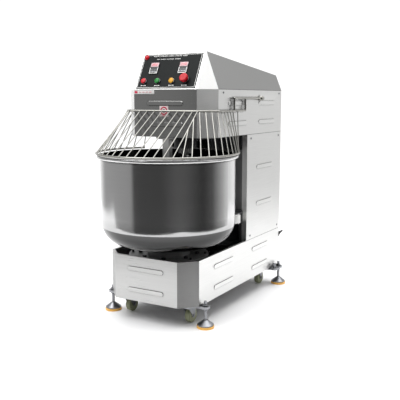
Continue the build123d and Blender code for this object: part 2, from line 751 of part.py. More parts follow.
# ---- feet and castors ----
def make_feet():
    pads, feet, lugs = [], [], []
    for side in (-1, 1):
        x = side * foot_x
        for y in (foot_front, foot_rear):
            pads.append(disc(x, y, 0, pad_height, pad_radius))
            shaft_bottom = pad_height + foot_disc_height
            foot = Pos(x, y, pad_height + foot_disc_height / 2 + 3) * Cone(
                foot_disc_radius, foot_stem_radius + 4, foot_disc_height - 6)
            foot += disc(x, y, pad_height, pad_height + 6, foot_disc_radius)
            foot += disc(x, y, shaft_bottom - 2, foot_stem_top, foot_stem_radius)
            for z in (base_bottom - lug_thickness - nut_height, base_bottom):
                foot += Pos(x, y, z) * extrude(RegularPolygon(nut_radius, 6), nut_height)
            feet.append(foot)
            far = rear_stud_y if y == foot_rear else y
            z0 = base_bottom - lug_thickness
            lug = disc(x, y, z0, base_bottom, lug_radius)
            x0, x1 = sorted((side * lug_inner_x, x))
            lug += block(x0, x1, far - lug_radius, y + lug_radius, z0, base_bottom)
            if far != y:
                # the rear lugs reach forward to a second stud
                lug += disc(x, far, z0, base_bottom, lug_radius)
                lug += block(x - lug_radius, x + lug_radius, far, y, z0, base_bottom)
                lug += disc(x, far, base_bottom, foot_stem_top, foot_stem_radius)
            lugs.append(lug - disc(x, y, z0 - 1, base_bottom + 1, foot_stem_radius + running_gap))
    save("foot_pads", *pads)
    save("levelling_feet", *feet)
    save("foot_lugs", *lugs)


def wheel_at(x, y):
    z = wheel_radius + wheel_clearance
    wheel = Pos(x, y, z) * Rot(0, 90, 0) * Cylinder(wheel_radius, wheel_width)
    wheel = fillet(wheel.edges().filter_by(GeomType.CIRCLE), 4)
    return wheel - Pos(x, y, z) * Rot(0, 90, 0) * Cylinder(axle_radius + running_gap, 2 * wheel_width)


def fork_at(x, swivel_y, axle_y, top):
    """Fork crown under the neck, two cheeks and the axle between them."""
    z = wheel_radius + wheel_clearance
    half = wheel_width / 2 + side_gap
    crown = 2 * wheel_radius + wheel_clearance + 3
    fork = block(x - half - fork_plate, x + half + fork_plate, min(swivel_y, axle_y) - 20,
                 max(swivel_y, axle_y) + 20, crown, top)
    for side in (-1, 1):
        x0, x1 = sorted((x + side * half, x + side * (half + fork_plate)))
        cheek = Plane.YZ * make_face(Polyline((axle_y - 13, z), (axle_y + 13, z),
                                              (max(swivel_y, axle_y) + 20, crown + 1),
                                              (min(swivel_y, axle_y) - 20, crown + 1), close=True))
        fork += Pos(x0, 0, 0) * extrude(cheek, fork_plate)
        fork += Pos((x0 + x1) / 2, axle_y, z) * Rot(0, 90, 0) * Cylinder(13, fork_plate)
    fork += Pos(x, axle_y, z) * Rot(0, 90, 0) * Cylinder(axle_radius, 2 * half + 2 * fork_plate + 6)
    return fork


def make_castors():
    plates = []
    bottom = base_bottom - castor_plate
    neck = bottom - castor_neck
    for label, side in (("left", -1), ("right", 1)):
        x = side * castor_x
        plate = block(x - castor_plate_half, x + castor_plate_half, castor_front - castor_plate_half,
                      castor_front + castor_plate_half, bottom, base_bottom)
        plates.append(plate + disc(x, castor_front, neck, bottom, castor_neck_radius))
        rear = block(x - castor_plate_half, x + castor_plate_half, castor_rear - castor_plate_half,
                     castor_rear + castor_plate_half, bottom, base_bottom)
        plates.append(rear + fork_at(x, castor_rear, castor_rear, bottom))
        save(f"front_castor_fork_{label}", fork_at(x, castor_front, castor_front + castor_trail, neck - 0.4))
        save(f"front_castor_wheel_{label}", wheel_at(x, castor_front + castor_trail))
        save(f"rear_castor_wheel_{label}", wheel_at(x, castor_rear))
    save("castor_plates", *plates)


# ---- fittings ----
def make_screws():
    screws = []
    for side in (-1, 1):
        for y in (130.0, 818.0):
            screws.append(along_x(side, half_width, half_width + 2, 4.5, y, head_top - 16))
        for y in (450.0, 818.0):
            screws.append(along_x(side, half_width, half_width + 2, 4.5, y, base_top + 22))
            screws.append(along_x(side, half_width, half_width + 2, 4.5, y, head_bottom - 22))
        for z in (150.0, 420.0, 700.0, 980.0, 1125.0):
            screws.append(Pos(side * (half_width - 12), body_depth + 1, z)
                          * Rot(90, 0, 0) * Cylinder(4.5, 2))
    save("panel_screws", *screws)


def make_electrical_box():
    z = head_bottom + head_plate
    box = block(-110, 110, body_depth - 52, body_depth - sheet, z + head_beam_height + 20, head_top - 10)
    save("electrical_box", box)


# ---- supply cable ----
def make_cable():
    gland = Pos(gland_x, body_depth + gland_length / 2, gland_z) * Rot(-90, 0, 0) * Cone(
        gland_radius, cord_radius + 2, gland_length)
    save("cable_gland", gland)
    radii = corner_radii(cord_route)
    print("cord arc radii", [round(r) for r in radii])
    save("power_cord", tube(cord_route, radii, cord_radius))
    outer = coil_radius + coil_layers * cord_radius
    inner = coil_radius - coil_layers * cord_radius
    height = 2 * cord_radius * coil_layers
    coil = disc(coil_x, coil_y, 0, height, outer) - disc(coil_x, coil_y, 0, height, inner)
    run = coil_y + outer - cord_radius
    last = cord_route[-1]
    coil += rod(last, (coil_x, run, last[2]), cord_radius)
    lead = [(coil_x, run, height - cord_radius), (coil_x - 45, run, height - cord_radius + 1),
            (coil_x - 85, run, plug_radius), (coil_x - 115, run, plug_radius)]
    coil += tube(lead, corner_radii(lead), cord_radius)
    save("cord_coil", coil)
    end = lead[-1]
    body = end[0] - 30
    plug = Pos(end[0] - 15, run, end[2]) * Rot(0, 90, 0) * Cone(plug_radius, cord_radius + 5, 30)
    plug += Pos(body - plug_length / 2, run, end[2]) * Rot(0, 90, 0) * Cylinder(plug_radius, plug_length)
    save("plug", plug)


make_base_panels()
make_column_panels()
make_rear_cover()
make_head_panels()
make_head_bottom_plate()
make_hood()
make_control_panel()
make_switches()
make_frame()
make_bowl()
make_turntable()
make_bowl_drive()
make_bearings()
make_belts()
make_spiral_drive()
make_hook()
make_breaker_bar()
make_guard()
make_rollers()
make_feet()
make_castors()
make_screws()
make_electrical_box()
make_cable()
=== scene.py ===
import math
import bpy
import bmesh
from mathutils import Matrix, Vector


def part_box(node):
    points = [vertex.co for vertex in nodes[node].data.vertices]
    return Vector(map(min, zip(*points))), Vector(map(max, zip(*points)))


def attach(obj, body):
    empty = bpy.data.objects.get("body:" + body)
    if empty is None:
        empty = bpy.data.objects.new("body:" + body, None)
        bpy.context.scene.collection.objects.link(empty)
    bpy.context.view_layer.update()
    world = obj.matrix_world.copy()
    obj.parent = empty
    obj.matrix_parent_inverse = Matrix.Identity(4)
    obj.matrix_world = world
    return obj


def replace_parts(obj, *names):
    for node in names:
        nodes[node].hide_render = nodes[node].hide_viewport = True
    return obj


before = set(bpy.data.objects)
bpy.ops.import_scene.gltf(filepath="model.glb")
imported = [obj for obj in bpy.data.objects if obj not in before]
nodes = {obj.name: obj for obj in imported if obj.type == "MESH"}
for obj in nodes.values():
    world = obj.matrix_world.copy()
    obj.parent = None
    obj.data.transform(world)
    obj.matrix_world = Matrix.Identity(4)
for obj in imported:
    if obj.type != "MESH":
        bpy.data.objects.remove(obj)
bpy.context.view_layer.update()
print("frame loaded:", len(nodes), "parts")

# ---------------------------------------------------------------- camera and studio
studio = {"azimuth": 30.0, "elevation": 8.963, "lens": 58.09, "place": (1.7637, -2.9643, 1.1048),
          "sweepFront": 1.60, "sweepRight": 1.7, "sweepReach": 3.4, "floorTone": 0.95, "keyPower": 110.0, "fillPower": 30.0, "overheadPower": 360.0,
          "skyPower": 1.0}


def makeCamera():
    data = bpy.data.cameras.new("camera")
    data.lens = studio["lens"]
    data.sensor_width = 36.0
    data.clip_end = 200.0
    camera = bpy.data.objects.new("camera", data)
    camera.location = studio["place"]
    camera.rotation_euler = (math.radians(90.0 - studio["elevation"]), 0.0, math.radians(studio["azimuth"]))
    bpy.context.scene.collection.objects.link(camera)
    bpy.context.scene.camera = camera
    bpy.context.scene.view_settings.view_transform = "Standard"


def areaLight(name, place, target, size, power):
    data = bpy.data.lights.new(name, "AREA")
    data.shape = "RECTANGLE"
    data.size, data.size_y = size
    data.energy = power
    light = bpy.data.objects.new(name, data)
    light.location = place
    light.rotation_euler = (Vector(target) - Vector(place)).to_track_quat("-Z", "Y").to_euler()
    bpy.context.scene.collection.objects.link(light)


def makeSky():
    # studio walls: dark in front of the machine, bright at its sides and behind it
    world = bpy.data.worlds.new("studio")
    bpy.context.scene.world = world
    world.use_nodes = True
    tree = world.node_tree
    tree.nodes.clear()
    coord = tree.nodes.new("ShaderNodeTexCoord")
    split = tree.nodes.new("ShaderNodeSeparateXYZ")
    tree.links.new(coord.outputs["Generated"], split.inputs[0])
    turn = tree.nodes.new("ShaderNodeMath")
    turn.operation = "ARCTAN2"
    tree.links.new(split.outputs["X"], turn.inputs[0])
    flip = tree.nodes.new("ShaderNodeMath")
    flip.operation = "MULTIPLY"
    flip.inputs[1].default_value = -1.0
    tree.links.new(split.outputs["Y"], flip.inputs[0])
    tree.links.new(flip.outputs[0], turn.inputs[1])
    scale = tree.nodes.new("ShaderNodeMapRange")
    scale.inputs["From Min"].default_value = -math.pi
    scale.inputs["From Max"].default_value = math.pi
    tree.links.new(turn.outputs[0], scale.inputs["Value"])
    walls = tree.nodes.new("ShaderNodeValToRGB")
    stops = walls.color_ramp
    stops.interpolation = "LINEAR"
    # position is the compass direction: 0.5 straight in front, 1 and 0 behind, 0.75 to the right
    tones = ((0.0, 1.12), (0.16, 1.12), (0.225, 0.46), (0.30, 0.44), (0.416, 0.40), (0.424, 0.08),
             (0.56, 0.07), (0.63, 0.12), (0.67, 0.11), (0.755, 0.04), (0.81, 0.10), (0.878, 0.52), (0.93, 0.98),
             (0.97, 1.12))
    while len(stops.elements) < len(tones):
        stops.elements.new(0.5)
    for element, (position, tone) in zip(stops.elements, tones):
        element.position = position
        element.color = (tone, tone, tone, 1.0)
    tree.links.new(scale.outputs[0], walls.inputs[0])
    ceiling = tree.nodes.new("ShaderNodeValToRGB")
    ceiling.color_ramp.elements[0].position = 0.55
    ceiling.color_ramp.elements[0].color = (0, 0, 0, 1)
    ceiling.color_ramp.elements[1].position = 0.85
    ceiling.color_ramp.elements[1].color = (1, 1, 1, 1)
    height = tree.nodes.new("ShaderNodeMapRange")
    height.inputs["From Min"].default_value = -1.0
    tree.links.new(split.outputs["Z"], height.inputs["Value"])
    tree.links.new(height.outputs[0], ceiling.inputs[0])
    blend = tree.nodes.new("ShaderNodeMix")
    blend.data_type = "RGBA"
    tree.links.new(ceiling.outputs[0], blend.inputs["Factor"])
    tree.links.new(walls.outputs[0], blend.inputs[6])
    blend.inputs[7].default_value = (0.62, 0.62, 0.63, 1.0)
    back = tree.nodes.new("ShaderNodeBackground")
    back.inputs["Strength"].default_value = studio["skyPower"]
    tree.links.new(blend.outputs[2], back.inputs["Color"])
    out = tree.nodes.new("ShaderNodeOutputWorld")
    tree.links.new(back.outputs[0], out.inputs["Surface"])


def makeFloor():
    # a paper sweep: it ends in front of the machine and runs on far behind it
    reach = studio["sweepReach"]
    front = -studio["sweepFront"]
    mesh = bpy.data.meshes.new("floor")
    mesh.from_pydata([(-reach, front, 0), (studio["sweepRight"], front, 0), (studio["sweepRight"], reach, 0),
                      (-reach, reach, 0)], [], [(0, 1, 2, 3)])
    floor = bpy.data.objects.new("floor", mesh)
    bpy.context.scene.collection.objects.link(floor)
    paint = bpy.data.materials.new("floorPaint")
    paint.use_nodes = True
    shader = paint.node_tree.nodes["Principled BSDF"]
    tone = studio["floorTone"]
    shader.inputs["Base Color"].default_value = (tone, tone, tone, 1.0)
    shader.inputs["Roughness"].default_value = 0.7
    mesh.materials.append(paint)


makeCamera()
makeSky()
makeFloor()
areaLight("keyLight", (-1.5, -3.0, 4.2), (0, 0, 0.6), (3.0, 3.0), studio["keyPower"])
areaLight("overheadLight", (0.0, 0.6, 5.0), (0, 0.6, 0), (6.0, 6.0), studio["overheadPower"])
areaLight("sideLight", (4.5, 1.5, 2.6), (0, 0, 0.7), (3.0, 2.5), studio["fillPower"])
print("camera and studio ready")


# ---------------------------------------------------------------- finishes
class Finish:
    """A node material being built: a Principled shader and short calls that add to it."""

    def __init__(self, name, colour, roughness, metallic=0.0):
        self.material = bpy.data.materials.new(name)
        self.material.use_nodes = True
        self.tree = self.material.node_tree
        self.shader = self.tree.nodes["Principled BSDF"]
        self.colour = colour
        self.roughness = roughness
        self.shader.inputs["Metallic"].default_value = metallic
        self.coord = self.add("ShaderNodeTexCoord").outputs["Object"]

    def add(self, kind, **settings):
        node = self.tree.nodes.new(kind)
        for key, value in settings.items():
            setattr(node, key, value)
        return node

    def link(self, start, end):
        self.tree.links.new(start, end)

    def stretched(self, scale, start=None):
        mapping = self.add("ShaderNodeMapping")
        mapping.inputs["Scale"].default_value = scale
        self.link(start or self.coord, mapping.inputs["Vector"])
        return mapping.outputs[0]

    def aroundAxis(self, centreY, turnScale, heightScale):
        # grain that runs round a vertical axis: angle, height and radius as coordinates
        shift = self.add("ShaderNodeMapping")
        shift.inputs["Location"].default_value = (0.0, -centreY, 0.0)
        self.link(self.coord, shift.inputs["Vector"])
        split = self.add("ShaderNodeSeparateXYZ")
        self.link(shift.outputs[0], split.inputs[0])
        angle = self.add("ShaderNodeMath", operation="ARCTAN2")
        self.link(split.outputs["X"], angle.inputs[0])
        self.link(split.outputs["Y"], angle.inputs[1])
        reach = self.add("ShaderNodeVectorMath", operation="LENGTH")
        flat = self.add("ShaderNodeCombineXYZ")
        self.link(split.outputs["X"], flat.inputs["X"])
        self.link(split.outputs["Y"], flat.inputs["Y"])
        self.link(flat.outputs[0], reach.inputs[0])
        joined = self.add("ShaderNodeCombineXYZ")
        self.link(angle.outputs[0], joined.inputs["X"])
        self.link(split.outputs["Z"], joined.inputs["Y"])
        self.link(reach.outputs["Value"], joined.inputs["Z"])
        self.reach = reach.outputs["Value"]
        return self.stretched((turnScale, heightScale, heightScale), joined.outputs[0])

    def noise(self, vector, scale, detail=3.0, roughness=0.55):
        node = self.add("ShaderNodeTexNoise")
        node.inputs["Scale"].default_value = scale
        node.inputs["Detail"].default_value = detail
        node.inputs["Roughness"].default_value = roughness
        self.link(vector, node.inputs["Vector"])
        return node.outputs[0]

    def span(self, value, low, high, fromLow=0.3, fromHigh=0.7):
        node = self.add("ShaderNodeMapRange")
        node.inputs["From Min"].default_value = fromLow
        node.inputs["From Max"].default_value = fromHigh
        node.inputs["To Min"].default_value = low
        node.inputs["To Max"].default_value = high
        self.link(value, node.inputs["Value"])
        return node.outputs[0]

    def tint(self, value, low, high):
        node = self.add("ShaderNodeMix", data_type="RGBA")
        node.inputs[6].default_value = (*low, 1.0)
        node.inputs[7].default_value = (*high, 1.0)
        self.link(value, node.inputs["Factor"])
        return node.outputs[2]

    def wear(self, colour, edgeColour, strength):
        # edges catch more handling, so they are brighter
        point = self.add("ShaderNodeNewGeometry").outputs["Pointiness"]
        edge = self.span(point, 0.0, strength, 0.515, 0.6)
        node = self.add("ShaderNodeMix", data_type="RGBA")
        self.link(edge, node.inputs["Factor"])
        self.link(colour, node.inputs[6])
        node.inputs[7].default_value = (*edgeColour, 1.0)
        return node.outputs[2]

    def paintedCreviceShade(self, colour, distance, floor):
        # painted shade: corners that light doesn't reach are darkened by an ambient occlusion mask
        hollow = self.add("ShaderNodeAmbientOcclusion", samples=6)
        hollow.inputs["Distance"].default_value = distance
        node = self.add("ShaderNodeMix", data_type="RGBA", blend_type="MULTIPLY")
        node.inputs["Factor"].default_value = 1.0
        self.link(colour, node.inputs[6])
        self.link(self.tint(self.span(hollow.outputs["AO"], 0.0, 1.0, 0.62, 0.97), (floor,) * 3, (1.0,) * 3),
                  node.inputs[7])
        return node.outputs[2]

    def faceShade(self, colour, direction, limit, tone, metal=None):
        # painted light and shade: faces turned this way (to either side) are multiplied by a tone, below 1 for painted
        # shade and above 1 for a painted highlight, and may have a more satin surface
        side = self.add("ShaderNodeVectorMath", operation="ABSOLUTE")
        self.link(self.add("ShaderNodeNewGeometry").outputs["True Normal"], side.inputs[0])
        turned = self.add("ShaderNodeVectorMath", operation="DOT_PRODUCT")
        self.link(side.outputs[0], turned.inputs[0])
        turned.inputs[1].default_value = Vector(direction).normalized()
        inner = self.add("ShaderNodeMath", operation="GREATER_THAN")
        inner.inputs[1].default_value = limit
        self.link(turned.outputs["Value"], inner.inputs[0])
        if metal is not None:
            start = self.shader.inputs["Metallic"].default_value
            self.link(self.span(inner.outputs[0], start, metal, 0.0, 1.0), self.shader.inputs["Metallic"])
        return self.masked(colour, inner.outputs[0], tone)

    def masked(self, colour, mask, tone):
        node = self.add("ShaderNodeMix", data_type="RGBA", blend_type="MULTIPLY")
        self.link(mask, node.inputs["Factor"])
        self.link(colour, node.inputs[6])
        node.inputs[7].default_value = (tone, tone, tone, 1.0)
        return node.outputs[2]

    def shadeRibSlopes(self, colour, tone):
        # painted light and shade: the upper slopes of the pressed ribs take another tone for how they turn against the
        # light, darker on the side and base sheets and brighter on the front sheet
        split = self.add("ShaderNodeSeparateXYZ")
        self.link(self.add("ShaderNodeNewGeometry").outputs["True Normal"], split.inputs[0])
        inner = self.add("ShaderNodeMath", operation="COMPARE")
        inner.inputs[1].default_value = 0.65
        inner.inputs[2].default_value = 0.32
        self.link(split.outputs["Z"], inner.inputs[0])
        return self.masked(colour, inner.outputs[0], tone)

    def shadeBelow(self, colour, low, high, tone):
        # painted shade: the colour is darker towards the bottom
        split = self.add("ShaderNodeSeparateXYZ")
        self.link(self.coord, split.inputs[0])
        return self.masked(colour, self.span(split.outputs["Z"], 1.0, 0.0, low, high), tone)

    def shadeWithin(self, colour, reach, tone):
        # painted shade: a bowl's inner side, which only sees its own far wall, is darkened
        inner = self.add("ShaderNodeMath", operation="LESS_THAN")
        inner.inputs[1].default_value = reach
        self.link(self.reach, inner.inputs[0])
        return self.masked(colour, inner.outputs[0], tone)

    def bump(self, height, strength, distance):
        node = self.add("ShaderNodeBump")
        node.inputs["Strength"].default_value = strength
        node.inputs["Distance"].default_value = distance
        self.link(height, node.inputs["Height"])
        self.link(node.outputs[0], self.shader.inputs["Normal"])

    def done(self, colour, roughness):
        self.link(colour, self.shader.inputs["Base Color"])
        self.link(roughness, self.shader.inputs["Roughness"])
        return self.material


def shade(colour, amount):
    return tuple(min(1.0, c * amount) for c in colour)


def brushedSteel(name, colour, roughness, grain, spread=0.05, vary=0.07, around=None, inside=None,
                 faceShade=(), ribSlopeShade=None, lowerShade=None, creviceShadeFloor=0.35, metal=1.0):
    finish = Finish(name, colour, roughness, metallic=metal)
    vector = finish.aroundAxis(around, *grain) if around is not None else finish.stretched(grain)
    lines = finish.noise(vector, 1.0, 4.0, 0.65)
    cloud = finish.noise(finish.coord, 3.2, 2.0)
    both = finish.add("ShaderNodeMath", operation="ADD")
    finish.link(finish.span(lines, 0.0, 0.7), both.inputs[0])
    finish.link(finish.span(cloud, 0.0, 0.3), both.inputs[1])
    tone = finish.tint(both.outputs[0], shade(colour, 1 - vary), shade(colour, 1 + vary))
    tone = finish.wear(tone, shade(colour, 1.25), 0.5)
    # painted shade in the crevices, from the ambient occlusion mask
    tone = finish.paintedCreviceShade(tone, 0.012, creviceShadeFloor)
    # painted shade on the bowl's inner side
    if inside:
        tone = finish.shadeWithin(tone, *inside)
    # painted light and shade on faces turned a given way
    for turned in faceShade:
        tone = finish.faceShade(tone, *turned)
    # painted shade or painted highlight on the rib slopes
    if ribSlopeShade:
        tone = finish.shadeRibSlopes(tone, ribSlopeShade)
    # painted shade on the lower part
    if lowerShade:
        tone = finish.shadeBelow(tone, *lowerShade)
    finish.bump(lines, 0.05, 0.0004)
    finish.shader.inputs["Anisotropic"].default_value = 0.35
    return finish.done(tone, finish.span(both.outputs[0], roughness - spread, roughness + spread, 0.0, 1.0))


def paintedCoat(name, colour, roughness, grainSize=220.0, metallic=0.0, vary=0.12, bump=0.12, coat=0.0,
                shine=0.5):
    finish = Finish(name, colour, roughness, metallic)
    fine = finish.noise(finish.coord, grainSize, 3.0)
    cloud = finish.noise(finish.coord, 9.0, 3.0)
    tone = finish.tint(cloud, shade(colour, 1 - vary), shade(colour, 1 + vary))
    tone = finish.wear(tone, shade(colour, 1.6), 0.4)
    finish.bump(fine, bump, 0.0006)
    finish.shader.inputs["Coat Weight"].default_value = coat
    finish.shader.inputs["Specular IOR Level"].default_value = shine
    return finish.done(tone, finish.span(fine, roughness - 0.06, roughness + 0.08))


def litDisplay(name, colour, glow):
    finish = Finish(name, colour, 0.3)
    cloud = finish.noise(finish.coord, 60.0)
    tone = finish.tint(cloud, shade(colour, 0.92), shade(colour, 1.05))
    finish.shader.inputs["Emission Color"].default_value = (*colour, 1.0)
    finish.shader.inputs["Emission Strength"].default_value = glow
    return finish.done(tone, finish.span(cloud, 0.25, 0.4))


bowlY = (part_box("bowl")[0].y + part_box("bowl")[1].y) / 2
# the sheet steels below are one brushed steel in lit and shaded copies: the side sheets carry the lit tone, and the
# darker colours of the roof, base, front and shaded sheets are painted shade
finishes = {
    "sheetSideLit": brushedSteel("sheetSideLit", (0.72, 0.72, 0.71), 0.34, (30.0, 6.0, 420.0), ribSlopeShade=0.4),
    "sheetBaseShade": brushedSteel("sheetBaseShade", (0.46, 0.46, 0.455), 0.30, (6.0, 30.0, 420.0),
                              faceShade=[((1, 1, 0), 0.97, 0.34)], ribSlopeShade=0.3),
    "sheetFrontShade": brushedSteel("sheetFrontShade", (0.36, 0.36, 0.355), 0.14, (6.0, 30.0, 420.0), spread=0.03,
                               faceShade=[((1, 1, 0), 0.97, 1.7, 0.3)], ribSlopeShade=2.0),
    "sheetRoofShade": brushedSteel("sheetRoofShade", (0.60, 0.60, 0.59), 0.36, (30.0, 5.0, 300.0),
                              faceShade=[((1, 0, 0.41), 0.97, 0.5), ((0.676, 0.659, 0.329), 0.985, 1.5, 0.2)]),
    "sheetShaded": brushedSteel("sheetShaded", (0.20, 0.20, 0.20), 0.42, (6.0, 30.0, 420.0)),
    # painted shade: the bowl's inner side and its lower part are darkened
    "spunBowl": brushedSteel("spunBowl", (0.60, 0.60, 0.60), 0.15, (0.6, 260.0), 0.04, 0.05, around=bowlY,
                             inside=(0.3378, 0.22), lowerShade=(0.44, 0.53, 0.42)),
    "turntable": paintedCoat("turntable", (0.30, 0.30, 0.30), 0.4, 240.0, 0.35, vary=0.06, bump=0.05),
    "polished": brushedSteel("polished", (0.40, 0.40, 0.40), 0.24, (2.0, 160.0), 0.05, 0.05, around=bowlY),
    "hookSteel": brushedSteel("hookSteel", (0.66, 0.66, 0.65), 0.26, (60.0, 60.0, 14.0), metal=0.72),
    "wireSteel": brushedSteel("wireSteel", (0.34, 0.335, 0.31), 0.30, (160.0, 160.0, 160.0)),
    "zinc": brushedSteel("zinc", (0.27, 0.275, 0.29), 0.36, (140.0, 140.0, 140.0), 0.08, 0.16),
    "casting": paintedCoat("casting", (0.16, 0.165, 0.17), 0.55, 300.0, 0.6, bump=0.3),
    "motorCoat": paintedCoat("motorCoat", (0.20, 0.22, 0.24), 0.5),
    "framePrimer": paintedCoat("framePrimer", (0.018, 0.018, 0.02), 0.6, 160.0),
    "blackSteel": paintedCoat("blackSteel", (0.02, 0.02, 0.022), 0.42, 300.0, 0.5),
    "beltRubber": paintedCoat("beltRubber", (0.015, 0.015, 0.015), 0.75, 400.0),
    "nylon": paintedCoat("nylon", (0.80, 0.80, 0.78), 0.38, 260.0, vary=0.04),
    "castorOlive": paintedCoat("castorOlive", (0.22, 0.235, 0.14), 0.45, 260.0, vary=0.1),
    "castorTread": paintedCoat("castorTread", (0.42, 0.44, 0.33), 0.6, 420.0, vary=0.08),
    "amberPad": paintedCoat("amberPad", (0.70, 0.36, 0.07), 0.42, 200.0, vary=0.1, coat=0.2),
    "panelFilm": paintedCoat("panelFilm", (0.006, 0.0075, 0.0075), 0.5, 500.0, vary=0.2, bump=0.04, shine=0.12),
    "redCap": paintedCoat("redCap", (0.50, 0.004, 0.014), 0.34, 180.0, vary=0.1, bump=0.03, shine=0.3),
    "greenCap": paintedCoat("greenCap", (0.008, 0.20, 0.028), 0.34, 180.0, vary=0.1, bump=0.03, shine=0.3),
    "yellowCap": paintedCoat("yellowCap", (0.66, 0.33, 0.018), 0.34, 180.0, vary=0.1, bump=0.03, shine=0.3),
    "blackPlastic": paintedCoat("blackPlastic", (0.012, 0.012, 0.013), 0.4, 320.0),
    "cableSheath": paintedCoat("cableSheath", (0.014, 0.014, 0.015), 0.55, 500.0, bump=0.2),
    "whitePrint": paintedCoat("whitePrint", (0.80, 0.80, 0.78), 0.5, 300.0, vary=0.03, bump=0.03),
    "pinkPrint": paintedCoat("pinkPrint", (0.80, 0.60, 0.60), 0.5, 300.0, vary=0.04, bump=0.03),
    "redPrint": paintedCoat("redPrint", (0.52, 0.03, 0.07), 0.5, 300.0, vary=0.05, bump=0.03),
    "brass": brushedSteel("brass", (0.72, 0.55, 0.26), 0.3, (90.0, 90.0, 90.0)),
    "displayGlass": litDisplay("displayGlass", (0.60, 0.40, 0.42), 0.02),
    "displayDigit": litDisplay("displayDigit", (0.62, 0.02, 0.06), 0.4),
}

nodeFinish = {
    "sheetBaseShade": ["base_front_panel"],
    "sheetFrontShade": ["head_front_panel", "head_bottom_plate"],
    "sheetSideLit": ["base_side_panel_left", "base_side_panel_right", "column_side_panel_left",
                  "column_side_panel_right", "head_side_panel_left", "head_side_panel_right", "rear_cover"],
    "sheetRoofShade": ["hood"],
    "sheetShaded": ["column_front_plate"],
    "spunBowl": ["bowl"],
    "turntable": ["bowl_turntable"],
    "polished": ["bowl_shaft"],
    "hookSteel": ["spiral_hook", "spiral_shaft", "breaker_bar"],
    "wireSteel": ["guard_cage", "guard_pivot_pins"],
    "zinc": ["levelling_feet", "foot_lugs", "panel_screws", "roller_brackets", "castor_plates",
             "front_castor_fork_left", "front_castor_fork_right", "shaft_bearings"],
    "casting": ["spiral_bearing_housing", "bowl_bearing_housing", "bowl_pulley", "spiral_pulley",
                "bowl_motor_pulley", "spiral_motor_pulley"],
    "motorCoat": ["spiral_motor", "bowl_motor", "electrical_box"],
    "framePrimer": ["frame", "head_beams"],
    "blackSteel": ["turntable_bolts"],
    "beltRubber": ["bowl_belt", "spiral_belt"],
    "nylon": ["guide_roller_left", "guide_roller_right"],
    "castorOlive": ["front_castor_wheel_left", "front_castor_wheel_right", "rear_castor_wheel_left",
                    "rear_castor_wheel_right"],
    "amberPad": ["foot_pads"],
    "panelFilm": ["control_panel"],
    "blackPlastic": ["button_bezels", "lamp_and_timers"],
    "redCap": ["stop_button", "emergency_stop"],
    "greenCap": ["start_button"],
    "yellowCap": ["inch_button"],
    "cableSheath": ["cable_gland", "power_cord", "cord_coil", "plug"],
}


def paintNodes():
    for finish, names in nodeFinish.items():
        for name in names:
            mesh = nodes[name].data
            mesh.materials.clear()
            mesh.materials.append(finishes[finish])


paintNodes()
print("finishes ready:", len(finishes))


# ---------------------------------------------------------------- shared builders
def addPiece(name, mesh, finish, body, smooth=True):
    piece = bpy.data.objects.new(name, mesh)
    bpy.context.scene.collection.objects.link(piece)
    mesh.materials.append(finishes[finish])
    for face in mesh.polygons:
        face.use_smooth = smooth
    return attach(piece, body)


def joinedMesh(name, parts):
    mesh = bpy.data.meshes.new(name)
    whole = bmesh.new()
    for part in parts:
        scratch = bpy.data.meshes.new("scratch")
        part.to_mesh(scratch)
        part.free()
        whole.from_mesh(scratch)
        bpy.data.meshes.remove(scratch)
    bmesh.ops.recalc_face_normals(whole, faces=whole.faces)
    whole.to_mesh(mesh)
    whole.free()
    return mesh


def softBlock(size, bevel, place):
    # block with rounded edges; place is the matrix that sets it in the row frame
    part = bmesh.new()
    bmesh.ops.create_cube(part, size=1.0)
    bmesh.ops.scale(part, vec=size, verts=part.verts)
    bmesh.ops.bevel(part, geom=part.edges[:], offset=bevel, segments=3, profile=0.5, affect="EDGES")
    bmesh.ops.transform(part, matrix=place, verts=part.verts)
    return part


def turned(profile, place, steps=48):
    # profile is (radius, height) from the bottom up, closed on the axis at both ends
    part = bmesh.new()
    rings = []
    for radius, height in profile:
        if radius < 1e-6:
            rings.append([part.verts.new((0, 0, height))])
        else:
            rings.append([part.verts.new((radius * math.cos(2 * math.pi * k / steps),
                                          radius * math.sin(2 * math.pi * k / steps), height))
                          for k in range(steps)])
    for low, high in zip(rings, rings[1:]):
        for k in range(steps):
            n = (k + 1) % steps
            corners = [low[k % len(low)], low[n % len(low)], high[n % len(high)], high[k % len(high)]]
            unique = list(dict.fromkeys(corners))
            if len(unique) > 2:
                part.faces.new(unique)
    bmesh.ops.transform(part, matrix=place, verts=part.verts)
    return part


def washerRing(inner, outer, height, place, steps=48, round=0.0006):
    # ring with softened edges, closed round on itself
    section = [(inner, 0), (outer - round, 0), (outer, round), (outer, height - round),
               (outer - round, height), (inner + round, height), (inner, height - round)]
    part = bmesh.new()
    rings = [[part.verts.new((r * math.cos(2 * math.pi * k / steps), r * math.sin(2 * math.pi * k / steps), h))
              for k in range(steps)] for r, h in section]
    for i in range(len(rings)):
        low, high = rings[i], rings[(i + 1) % len(rings)]
        for k in range(steps):
            n = (k + 1) % steps
            part.faces.new((low[k], low[n], high[n], high[k]))
    bmesh.ops.transform(part, matrix=place, verts=part.verts)
    return part


# ---------------------------------------------------------------- supply cable
cable = {"exit": (0.240, 0.634, 0.293), "diameter": 0.010, "length": 2.05, "coilCentre": (-0.090, 0.716),
         "coilRadii": (0.060, 0.050, 0.050, 0.060), "coilHeights": (0.0052, 0.0052, 0.0150, 0.0150),
         "pointsPerTurn": 16, "plugLine": (0.776, 0.024), "plugRear": -0.205,
         "route": [(0.240, 0.634, 0.293), (0.240, 0.706, 0.293), (0.205, 0.761, 0.272), (0.150, 0.781, 0.215),
                   (0.112, 0.783, 0.140), (0.095, 0.783, 0.066), (0.062, 0.779, 0.018), (0.005, 0.776, 0.0052),
                   (-0.050, 0.776, 0.0052)]}


